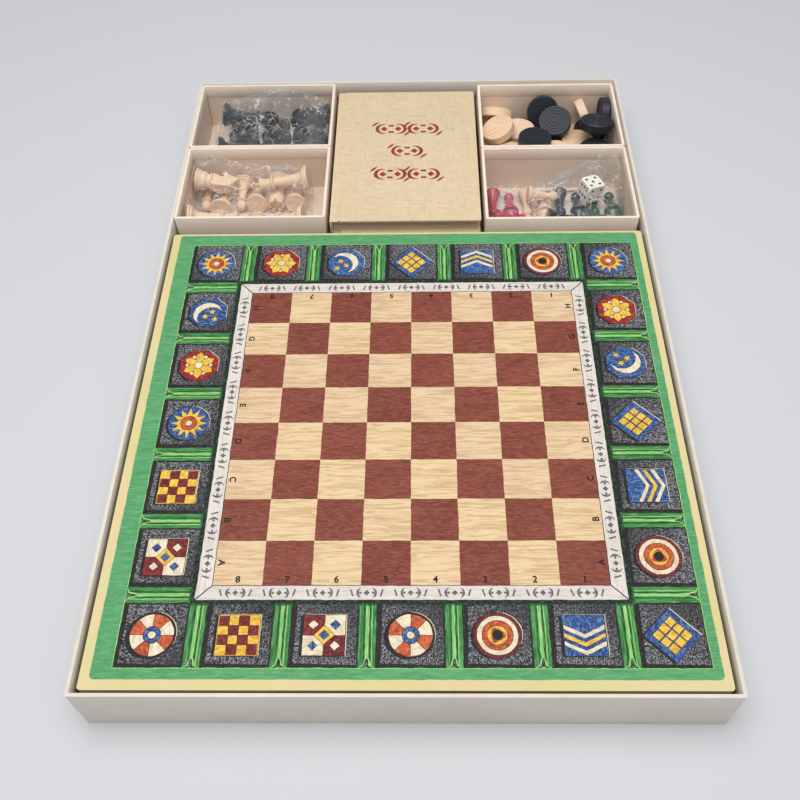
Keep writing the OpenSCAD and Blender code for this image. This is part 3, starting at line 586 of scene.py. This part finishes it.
inks = {
    "margin": finishes["chess_print"],
    "green": printFinish("greenInk", (94, 163, 108), (82, 152, 98), (66, 134, 84), (60.0, 420.0), 0.4,
                         (132, 194, 148), 0.3, 24.0),
    "greenDark": printFinish("greenShade", (34, 92, 50), (24, 66, 38), (16, 40, 26), (900.0, 60.0), 0.5,
                             (110, 186, 112), 0.35),
    "greenMid": printFinish("greenMiddle", (66, 142, 72), (48, 118, 58), (28, 80, 42), (1000.0, 60.0),
                            0.55, (140, 206, 132), 0.4),
    "greenLight": printFinish("greenLight", (134, 204, 106), (108, 184, 88), (76, 150, 66),
                              (900.0, 50.0), 0.4, (206, 238, 176), 0.55),
    "charcoal": printFinish("charcoalInk", (60, 56, 60), (42, 39, 43), (22, 20, 23), (760.0, 420.0),
                            0.8, (172, 174, 180), 0.72, 45.0, lit=(0.45, 0.55)),
    "black": printFinish("blackInk", (30, 26, 28), (40, 34, 36), (20, 18, 20), (700.0, 300.0), 0.4,
                         (84, 80, 84), 0.3),
    "frame": printFinish("frameInk", (28, 46, 34), (22, 32, 26), (16, 22, 18), (300.0, 300.0), 0.4,
                         (80, 110, 84), 0.4),
    "band": printFinish("bandInk", (226, 218, 208), (212, 204, 198), (176, 168, 168), (70.0, 1100.0),
                        0.4, (240, 234, 222), 0.4),
    "pencil": printFinish("pencilInk", (78, 74, 76), (104, 100, 100), (66, 62, 64), (800.0, 800.0),
                          0.5, (190, 184, 180), 0.4),
    "cream": printFinish("creamSquare", (230, 203, 154), (222, 191, 160), (178, 138, 92),
                         (50.0, 640.0), 0.5, (242, 222, 184), 0.3, 40.0, perPlate=0.6),
    "brown": printFinish("brownSquare", (137, 75, 61), (120, 60, 49), (96, 42, 34), (110.0, 560.0),
                         0.45, (176, 106, 84), 0.35, 55.0, perPlate=0.4),
    "red": printFinish("redInk", (172, 44, 40), (136, 30, 32), (84, 20, 24), (420.0, 200.0), 0.5,
                       (216, 112, 90), 0.35),
    "yellow": printFinish("yellowInk", (240, 202, 62), (222, 168, 44), (176, 108, 34), (200.0, 420.0),
                          0.4, (252, 236, 150), 0.4),
    "blue": printFinish("blueInk", (48, 98, 168), (36, 60, 124), (22, 30, 70), (420.0, 200.0), 0.55,
                        (150, 184, 214), 0.35),
    "white": printFinish("whiteInk", (236, 224, 196), (222, 206, 170), (176, 152, 118), (200.0, 500.0),
                         0.4, (250, 244, 226), 0.4),
    "orange": printFinish("orangeInk", (204, 92, 52), (178, 66, 42), (116, 38, 30), (300.0, 300.0), 0.5,
                          (240, 158, 108), 0.35),
    "wine": printFinish("wineInk", (128, 42, 46), (104, 30, 36), (64, 18, 24), (420.0, 240.0), 0.5,
                        (178, 92, 90), 0.35),
}
inkNumber = {name: number for number, name in enumerate(inks)}

# each medallion is a list of (points, ink); later ones lie over earlier ones
medallionSize = 12.6


def roundedFrame(shape, radius):
    if shape == "disc":
        return ringOf(28, radius)
    if shape == "lozenge":
        return ringOf(4, radius * 1.18)
    if shape == "octagon":
        return ringOf(8, radius * 1.04, turn=22.5)
    return ringOf(4, radius * 1.26, turn=45)


def crescent(radius, start, end, thin=0.62, steps=8):
    outer, inner = [], []
    for k in range(steps + 1):
        angle = math.radians(start + (end - start) * k / steps)
        outer.append((radius * math.cos(angle), radius * math.sin(angle)))
        swell = 1 - (1 - thin) * math.sin(math.pi * k / steps)
        inner.append((radius * swell * math.cos(angle), radius * swell * math.sin(angle)))
    return outer + inner[::-1][1:-1]


def sunMedallion(r):
    return "disc", "blue", [(ringOf(24, r * 0.9, pinch=0.55), "yellow"),
                            (ringOf(18, r * 0.4), "orange"), (ringOf(12, r * 0.16), "white")]


def quarterMedallion(r):
    parts = [(placed(rectangle(0, 0, r * 0.88, r * 0.88), (0, 0), 90 * k), "wine" if k % 2 else "white")
             for k in range(4)]
    parts += [(placed(ringOf(4, r * 0.2, (r * 0.46, r * 0.46)), (0, 0), 90 * k),
               "white" if k % 2 else "blue") for k in range(4)]
    return "square", "wine", parts + [(ringOf(4, r * 0.42), "yellow"), (ringOf(4, r * 0.2), "blue")]


def diamondMedallion(r):
    parts = [(ringOf(4, r * 0.24, (column * r * 0.29, row * r * 0.29)), "yellow")
             for column in range(-3, 4) for row in range(-3, 4)
             if abs(column) + abs(row) < 4 and (column + row) % 2 == 0]
    return "lozenge", "blue", parts


def ringMedallion(r):
    parts = [(ringOf(26, r * 0.86), "white"), (ringOf(24, r * 0.64), "orange")]
    parts += [(placed(crescent(r * 0.42, -70, 70), (0, 0), 120 * k), "yellow") for k in range(3)]
    return "disc", "wine", parts + [(ringOf(14, r * 0.2), "black")]


def pinwheelMedallion(r):
    parts = [(sector(r * 0.92, 45 * k, 45 * k + 45), "orange" if k % 2 else "white") for k in range(8)]
    return "disc", "black", parts + [(ringOf(16, r * 0.36), "blue"), (ringOf(12, r * 0.16), "white")]


def chevronMedallion(r):
    parts = []
    for k in (-1, 0, 1):
        base = k * r * 0.36
        parts.append(([(-r * 0.86, base - r * 0.1), (0, base + r * 0.32), (r * 0.86, base - r * 0.1),
                       (r * 0.86, base + r * 0.08), (0, base + r * 0.5), (-r * 0.86, base + r * 0.08)],
                      "white" if k else "yellow"))
    return "square", "blue", parts


def petalMedallion(r):
    parts = [(placed([(0, 0), (r * 0.3, r * 0.2), (r * 0.62, r * 0.2), (r * 0.84, 0),
                      (r * 0.62, -r * 0.2), (r * 0.3, -r * 0.2)], (0, 0), 60 * k), "yellow")
             for k in range(6)]
    parts += [(placed(ringOf(10, r * 0.09, (r * 0.6, 0)), (0, 0), 60 * k + 30), "white")
              for k in range(6)]
    return "octagon", "red", parts + [(ringOf(16, r * 0.2), "white")]


def checkMedallion(r):
    cell = r * 0.42
    parts = [(rectangle((c - 2) * cell, (q - 2) * cell, (c - 1) * cell, (q - 1) * cell), "wine")
             for c in range(4) for q in range(4) if (c + q) % 2]
    return "square", "yellow", parts


def moonMedallion(r):
    parts = [(placed(crescent(r * 0.78, -110, 110, 0.5), (-r * 0.1, 0), 35), "white")]
    parts += [(ringOf(10, r * 0.2, (x * r, y * r), pinch=0.45), "yellow")
              for x, y in ((-0.3, 0.12), (-0.5, -0.42), (0.02, -0.22))]
    return "octagon", "blue", parts


medallions = [sunMedallion, quarterMedallion, ringMedallion, diamondMedallion, petalMedallion,
              checkMedallion, pinwheelMedallion, chevronMedallion, moonMedallion]
inkLine = 0.34


def outlined(points, line):
    midX = sum(x for x, y in points) / len(points)
    midY = sum(y for x, y in points) / len(points)
    reach = sum(math.hypot(x - midX, y - midY) for x, y in points) / len(points)
    grow = 1 + line / max(reach, line)
    return [(midX + (x - midX) * grow, midY + (y - midY) * grow) for x, y in points]


def addMedallion(build, design, centre, turn, base):
    step = printLayout["layer"]
    shape, ground, parts = design(medallionSize)
    frameShape = roundedFrame(shape, medallionSize)
    stack = [(frameShape, "black", (-1.5, -0.6)), (frameShape, "white", (0.65, 0.4)),
             (outlined(frameShape, inkLine), "black", (0, 0)), (frameShape, ground, (0, 0))]
    for points, ink in parts:
        stack += [(outlined(points, inkLine), "black", (0, 0)), (points, ink, (0, 0))]
    for level, (points, ink, (shiftX, shiftY)) in enumerate(stack):
        low = base + step * (0.3 + 0.13 * level)
        plate(build, points, low - step * 0.3, low, inkNumber[ink],
              (centre[0] + shiftX, centre[1] + shiftY), turn)


pillarStripes = [(0.0, 0.05, "black"), (0.05, 0.24, "greenMid"), (0.24, 0.3, "greenLight"),
                 (0.3, 0.42, "greenDark"), (0.42, 0.6, "greenLight"), (0.6, 0.72, "greenDark"),
                 (0.72, 0.95, "greenMid"), (0.95, 1.0, "black")]


def addPillar(build, centre, width, length, turn, base):
    step = printLayout["layer"]
    for start, end, ink in pillarStripes:
        points = rectangle(-width / 2 + start * width, -length / 2, -width / 2 + end * width, length / 2)
        plate(build, points, base, base + step, inkNumber[ink], centre, turn)
    foot = length / 2
    for grow, ink in ((0.0, "greenLight"), (0.09, "black"), (0.15, "charcoal")):
        arch = [(-width * (0.42 - grow), foot - 0.2), (-width * (0.2 - grow), foot - 1.6 + grow * 4),
                (-width * (0.12 - grow * 0.6), foot - 4.6 + grow * 6), (0, foot - 6.0 + grow * 8),
                (width * (0.12 - grow * 0.6), foot - 4.6 + grow * 6),
                (width * (0.2 - grow), foot - 1.6 + grow * 4), (width * (0.42 - grow), foot - 0.2)]
        rise = step * (0.5 + grow * 4)
        plate(build, arch, base + rise, base + rise + step, inkNumber[ink], centre, turn)
    lintel = rectangle(-width / 2, -foot, width / 2, -foot + 1.1)
    plate(build, lintel, base + step * 0.5, base + step * 1.4, inkNumber["greenDark"], centre, turn)


def addBandOrnament(build, centre, turn, low, high):
    parts = [(crescent(3.0, 95, 265, 0.5), (-2.6, 0)), (crescent(3.0, -85, 85, 0.5), (2.6, 0)),
             (ringOf(4, 1.7), (0, 0)), (ringOf(4, 0.9), (-3.4, 0)), (ringOf(4, 0.9), (3.4, 0)),
             ([(-9.2, -1.9), (-7.9, 2.1), (-7.0, 1.9), (-8.2, -2.1)], (0, 0)),
             ([(9.2, -1.9), (7.9, 2.1), (7.0, 1.9), (8.2, -2.1)], (0, 0))]
    for points, (x, y) in parts:
        plate(build, [(px + x, py + y) for px, py in points], low, high, inkNumber["pencil"],
              centre, turn, 0.6)


def buildPrint(build, top):
    layout = printLayout
    step = layout["layer"]
    field = layout["field"]
    inner, outer = layout["ringInner"], layout["ringOuter"]
    half = layout["square"] * 4
    x0, y0, x1, y1 = layout["green"]
    corner = layout["greenCorner"]
    greenShape = []
    for cx, cy, start in ((x1 - corner, y1 - corner, 0), (x0 + corner, y1 - corner, 90),
                          (x0 + corner, y0 + corner, 180), (x1 - corner, y0 + corner, 270)):
        greenShape += [(cx + corner * math.cos(math.radians(start + 90 * k / 4)),
                        cy + corner * math.sin(math.radians(start + 90 * k / 4))) for k in range(5)]
    plate(build, greenShape, top, top + step, inkNumber["green"])
    level = top + step
    rim = outer + 0.5
    plate(build, rectangle(-rim, -rim, rim, rim), level - step * 0.5, level + step * 0.5,
          inkNumber["greenLight"], field)
    plate(build, rectangle(-outer, -outer, outer, outer), level, level + step, inkNumber["frame"], field)
    level += step
    panel = outer - inner
    count = layout["panelsPerSide"]
    pillar = (2 * outer - count * panel) / (count - 1)
    pitch = panel + pillar
    inset = 0.55
    niche = panel / 2 - inset
    design = 0
    for side in range(4):
        turn = 90 * side
        for k in range(count - 1):
            along = -outer + panel / 2 + k * pitch
            spot = placed([(along, (inner + outer) / 2)], field, turn)[0]
            plate(build, rectangle(-niche, -niche, niche, niche), level, level + step,
                  inkNumber["charcoal"], spot, turn)
            shadow = [(-niche, -niche), (niche, -niche), (niche, -niche + 1.0), (-niche + 1.6, -niche + 1.8),
                      (-niche + 2.2, niche), (-niche, niche)]
            plate(build, shadow, level + step * 0.2, level + step * 1.1, inkNumber["black"], spot)
            addMedallion(build, medallions[design * 4 % len(medallions)], spot, turn, level + step)
            design += 1
            between = placed([(along + pitch / 2, (inner + outer) / 2)], field, turn)[0]
            addPillar(build, between, pillar, panel, turn, level)
    band = half + layout["bandWidth"]
    for side in range(4):
        turn = 90 * side
        strip = [(-band, band), (-half, half), (half, half), (band, band)]
        plate(build, strip, level, level + step, inkNumber["band"], field, turn)
        for offset in (0.0, layout["bandWidth"] - 0.4):
            edge = half + offset
            line = [(-edge - 0.4, edge + 0.4), (-edge, edge), (edge, edge), (edge + 0.4, edge + 0.4)]
            plate(build, line, level + step * 0.5, level + step * 1.5, inkNumber["black"], field, turn)
        mitre = [(half, half), (half + 0.45, half), (band, band - 0.45), (band, band), (band - 0.45, band),
                 (half, half + 0.45)]
        plate(build, mitre, level + step * 0.6, level + step * 1.6, inkNumber["black"], field, turn)
        for k in range(9):
            middle = (k - 4) * layout["square"] * 0.88
            centre = placed([(middle, half + layout["bandWidth"] / 2)], field, turn)[0]
            addBandOrnament(build, centre, turn, level + step, level + step * 1.6)
    level += step * 0.8
    side = layout["square"]
    for column in range(8):
        for row in range(8):
            ink, rise = ("brown", step) if (column + row) % 2 else ("cream", step * 0.5)
            centre = (field[0] + (column - 3.5) * side, field[1] + (row - 3.5) * side)
            plate(build, rectangle(-side / 2, -side / 2, side / 2, side / 2), level, level + rise,
                  inkNumber[ink], centre)
    return level + step


coordinateMarks = {"size": 5.4, "fromEdge": 3.2, "boldness": 0.03}


def addCharacter(build, text, centre, turn, low, high):
    size = coordinateMarks["size"] * mm
    curve = bpy.data.curves.new("character", "FONT")
    curve.body, curve.size, curve.align_x, curve.align_y = text, size, "CENTER", "CENTER"
    curve.extrude, curve.resolution_u = (high - low) * mm / 2, 3
    curve.offset = coordinateMarks["boldness"] * size
    holder = bpy.data.objects.new("character", curve)
    bpy.context.scene.collection.objects.link(holder)
    bpy.context.view_layer.update()
    flat = bpy.data.meshes.new_from_object(
        holder.evaluated_get(bpy.context.evaluated_depsgraph_get()))
    flat.transform(Matrix.Translation((centre[0] * mm, centre[1] * mm, (low + high) * mm / 2))
                   @ Matrix.Rotation(math.radians(turn), 4, "Z"))
    before = len(build.faces)
    build.from_mesh(flat)
    build.faces.ensure_lookup_table()
    for face in build.faces[before:]:
        face.material_index = inkNumber["black"]
    bpy.data.objects.remove(holder)
    bpy.data.curves.remove(curve)
    bpy.data.meshes.remove(flat)


def addCoordinates(build, high):
    fx, fy = printLayout["field"]
    side = printLayout["square"]
    low, top = high - printLayout["layer"], high + printLayout["layer"]
    reach = 4 * side - coordinateMarks["fromEdge"]
    for k in range(8):
        along = (k - 3.5) * side
        number, letter = str(8 - k), "ABCDEFGH"[k]
        addCharacter(build, number, (fx + along, fy + reach), 180, low, top)
        addCharacter(build, number, (fx + along, fy - reach), 0, low, top)
        addCharacter(build, letter, (fx - reach, fy + along), -90, low, top)
        addCharacter(build, letter, (fx + reach, fy + along), 90, low, top)


sheetBuild = mergedCopy("chess_board_face")
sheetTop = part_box("chess_board_face")[1].z / mm
printTop = buildPrint(sheetBuild, sheetTop - 0.01)
addCoordinates(sheetBuild, printTop)
raisePlates(sheetBuild)
boardPrint = finishMesh(sheetBuild, "chessBoardPrint", list(inks.values()), "chess_board", smooth=False)
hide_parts("chess_board_face")
print("board printed:", len(boardPrint.data.polygons), "faces")

# the book: ornament stamped on its cover, and cloth over the joint

bookMarks = {"rows": ((197.0, 4), (170.0, 2), (143.0, 4)), "pitch": 12.6, "height": 0.05, "radius": 6.2}
stampInk = printFinish("stampInk", (158, 60, 50), (142, 46, 40), (120, 34, 32), (500.0, 500.0), 0.35,
                       (196, 110, 88), 0.3)
stampBuild = bmesh.new()
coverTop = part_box("book_front_cover")[1].z / mm
for rowY, count in bookMarks["rows"]:
    for k in range(count):
        spot = ((k - (count - 1) / 2) * bookMarks["pitch"], rowY)
        r = bookMarks["radius"]
        facing = 180 if k % 2 else 0
        for points in (crescent(r, 60, 300, 0.55), crescent(r * 1.55, 110, 165, 0.8),
                       ringOf(4, r * 0.46, (r * 0.12, 0)), ringOf(10, r * 0.2, (r * 0.86, r * 0.62)),
                       ringOf(10, r * 0.2, (r * 0.86, -r * 0.62))):
            plate(stampBuild, points, coverTop - 0.02, coverTop + bookMarks["height"], 0, spot, facing, 0.5)
raisePlates(stampBuild)
finishMesh(stampBuild, "bookCoverOrnament", [stampInk], bodyOf["book_front_cover"], smooth=False)

jointCloth = {"middle": -49.25, "width": 1.9, "top": 37.86, "thickness": 0.25}
clothLow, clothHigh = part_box("book_front_cover")
jointBuild = bmesh.new()
left, right = [jointCloth["middle"] + side * jointCloth["width"] / 2 for side in (-1, 1)]
plate(jointBuild, rectangle(left, clothLow.y / mm + 0.4, right, clothHigh.y / mm - 0.4),
      jointCloth["top"] - jointCloth["thickness"], jointCloth["top"], 0, hand=0.0)
raisePlates(jointBuild)
jointPiece = finishMesh(jointBuild, "bookJointCloth", [finishes["book_linen"]], None)
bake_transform(jointPiece)
print("book dressed")

# the die, with its pips painted

dieBuild = mergedCopy("die")
dieMiddle = (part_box("die")[0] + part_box("die")[1]) / 2
dieAxes = []
for face in sorted(dieBuild.faces, key=lambda face: -face.calc_area()):
    if len(dieAxes) < 3 and all(abs(face.normal.dot(axis)) < 0.5 for axis in dieAxes):
        dieAxes.append(face.normal.copy())
halfEdge = max(abs((vert.co - dieMiddle).dot(dieAxes[0])) for vert in dieBuild.verts)
for face in dieBuild.faces:
    offset = face.calc_center_median() - dieMiddle
    sunk = max(abs(offset.dot(axis)) for axis in dieAxes) < halfEdge - 0.05 * mm
    face.material_index = 1 if sunk and offset.length < 1.35 * halfEdge else 0
die = finishMesh(dieBuild, "ivoryDie",
                 [finishes["die_plastic"], paperFinish("pipPaint", (46, 42, 42), (38, 35, 36))],
                 bodyOf["die"])
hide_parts("die")

# painted shadow: a thin dark strip on the wall in each tray corner stands in for the shade in the narrow
# joint that stands open there

traySlit = {"wall": 1.4, "width": 0.8, "fromCorner": 0.3, "foot": 3.0, "below": 10.6, "depth": 0.08}
slitShadowPaint = paperFinish("jointShadow", (92, 70, 52), (72, 54, 40))
for place in ("rear_left", "front_left", "rear_right", "front_right"):
    low, high = [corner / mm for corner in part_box("tray_" + place)]
    slitBuild = bmesh.new()
    wallX, wallY = low.x + traySlit["wall"], high.y - traySlit["wall"] - traySlit["fromCorner"]
    plate(slitBuild, rectangle(wallX - 0.02, wallY - traySlit["width"], wallX + traySlit["depth"], wallY),
          low.z + traySlit["foot"], high.z - traySlit["below"], 0, hand=0.0)
    raisePlates(slitBuild)
    finishMesh(slitBuild, "cornerJointShadow_" + place, [slitShadowPaint], bodyOf["tray_" + place], smooth=False)
print("die and tray joints finished")

# bags of crumpled film, let fall over the pieces that they hold

filmBags = {
    "chessBagDark": {"node": "bag_dark_chessmen", "cuts": 30, "spare": 0.07, "crease": 0.55,
                     "mouth": [(0.55, 1.0, 1.0, 0.22, 6.5), (0.95, 0.8, 0.6, 0.2, 4.5)]},
    "chessBagLight": {"node": "bag_light_chessmen", "cuts": 30, "spare": 0.06, "crease": 0.5,
                      "mouth": [(0.05, 0.9, 0.5, 0.25, 5.0), (0.75, 1.0, 0.8, 0.15, 3.0)]},
    "counterBag": {"node": "bag_counters", "cuts": 34, "spare": 0.12, "crease": 1.0,
                   "mouth": [(0.97, 0.95, 0.5, 0.16, 11.5), (0.45, 1.0, 0.9, 0.3, 6.0)]},
}
filmSimulation = {"scale": 10.0, "frames": 26, "weight": 0.08, "stiffness": 6.0, "bending": 0.25}
filmCreases = {"wide": 0.011, "fine": 0.005, "highest": 0.0455, "flatBelow": 0.004, "past": 0.0002}


def pressedBy(contents, ratio=0.35):
    build = bmesh.new()
    for node in contents:
        build.from_mesh(nodes[node].data)
    bmesh.ops.remove_doubles(build, verts=build.verts, dist=0.00002)
    bmesh.ops.scale(build, verts=build.verts, vec=[filmSimulation["scale"]] * 3)
    mesh = bpy.data.meshes.new("heap")
    build.to_mesh(mesh)
    build.free()
    heap = bpy.data.objects.new("heap", mesh)
    bpy.context.scene.collection.objects.link(heap)
    thin = heap.modifiers.new("thin", "DECIMATE")
    thin.ratio = ratio
    heap.modifiers.new("press", "COLLISION")
    heap.collision.thickness_outer, heap.collision.thickness_inner = 0.004, 0.05
    heap.collision.cloth_friction = 12.0
    return heap


def filmShell(values, low, high):
    build = bmesh.new()
    bmesh.ops.create_cube(build, size=1.0)
    bmesh.ops.subdivide_edges(build, edges=build.edges, cuts=values["cuts"], use_grid_fill=True)
    size = high - low
    for vert in build.verts:
        share = vert.co + Vector((0.5, 0.5, 0.5))
        belly = math.sin(math.pi * min(max(share.z, 0), 1))
        corner = abs(2 * share.x - 1) ** 6 * abs(2 * share.y - 1) ** 6
        tuck = 1.0 - 0.08 * (1 - belly) - 0.1 * corner
        x = 0.5 + (share.x - 0.5) * tuck
        y = 0.5 + (share.y - 0.5) * tuck
        rise = sum(lift * math.exp(-((share.x - px) ** 2 + ((share.y - py) * wide) ** 2) / spread ** 2)
                   for px, py, wide, spread, lift in values["mouth"])
        vert.co = Vector((low.x + x * size.x, low.y + y * size.y,
                          low.z + share.z * (size.z + rise * mm)))
    return build


def dropFilm(build, name, values, contents, low, high):
    scene = bpy.context.scene
    factor = filmSimulation["scale"]
    bmesh.ops.scale(build, verts=build.verts, vec=[factor] * 3)
    mesh = bpy.data.meshes.new(name)
    build.to_mesh(mesh)
    build.free()
    film = bpy.data.objects.new(name, mesh)
    scene.collection.objects.link(film)
    held = film.vertex_groups.new(name="held")
    size = high - low
    peak = max(lift for *_, lift in values["mouth"])
    for vert in mesh.vertices:
        share = ((vert.co.x / factor - low.x) / size.x, (vert.co.y / factor - low.y) / size.y)
        if vert.co.z < (low.z + 0.6 * mm) * factor:
            held.add([vert.index], 1.0, "REPLACE")
        elif vert.co.z > (high.z + 0.75 * peak * mm) * factor:
            held.add([vert.index], 0.9, "REPLACE")
    heap = pressedBy(contents)
    cloth = film.modifiers.new("fall", "CLOTH")
    cloth.settings.mass = filmSimulation["weight"]
    cloth.settings.quality = 6
    cloth.settings.tension_stiffness = cloth.settings.compression_stiffness = filmSimulation["stiffness"]
    cloth.settings.shear_stiffness = 2.0
    cloth.settings.bending_stiffness = filmSimulation["bending"]
    cloth.settings.shrink_min = -values["spare"]
    cloth.settings.vertex_group_mass = "held"
    cloth.collision_settings.distance_min = 0.006
    cloth.collision_settings.collision_quality = 3
    cloth.collision_settings.use_self_collision = False
    cloth.point_cache.frame_end = filmSimulation["frames"]
    for step in range(1, filmSimulation["frames"] + 1):
        scene.frame_set(step)
    fallen = bpy.data.meshes.new_from_object(film.evaluated_get(bpy.context.evaluated_depsgraph_get()))
    scene.frame_set(1)
    for thing in (film, heap):
        bpy.data.objects.remove(thing)
    build = bmesh.new()
    build.from_mesh(fallen)
    bpy.data.meshes.remove(fallen)
    bmesh.ops.scale(build, verts=build.verts, vec=[1 / factor] * 3)
    return build


def creaseHeight(place, cell):
    near, far = noise.voronoi(place / cell)[0][:2]
    return min(far - near, 0.45) - 0.2


def makeFilmBag(name, values):
    node = values["node"]
    low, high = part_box(node)
    contents = [other for other, body in bodyOf.items() if body == bodyOf[node] and other != node]
    build = filmShell(values, low, high)
    build = dropFilm(build, name, values, contents, low, high)
    bmesh.ops.subdivide_edges(build, edges=build.edges, cuts=1, use_grid_fill=True, smooth=0.6)
    build.normal_update()
    past = filmCreases["past"]
    for vert in build.verts:
        above = min(max((vert.co.z - low.z) / filmCreases["flatBelow"], 0.0), 1.0)
        shift = creaseHeight(vert.co, filmCreases["wide"]) * 1.1
        shift += creaseHeight(vert.co + Vector((3, 1, 2)), filmCreases["fine"]) * 0.5
        vert.co += vert.normal * shift * values["crease"] * mm * above
        vert.co.x = min(max(vert.co.x, low.x - past), high.x + past)
        vert.co.y = min(max(vert.co.y, low.y - past), high.y + past)
        vert.co.z = min(max(vert.co.z, low.z), filmCreases["highest"])
    bag = finishMesh(build, name, [finishes["bag_film"]], bodyOf[node], sharpAngle=50.0)
    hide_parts(node)
    return bag


for name, values in filmBags.items():
    bag = makeFilmBag(name, values)
    print("film bag", name, len(bag.data.polygons), "faces")
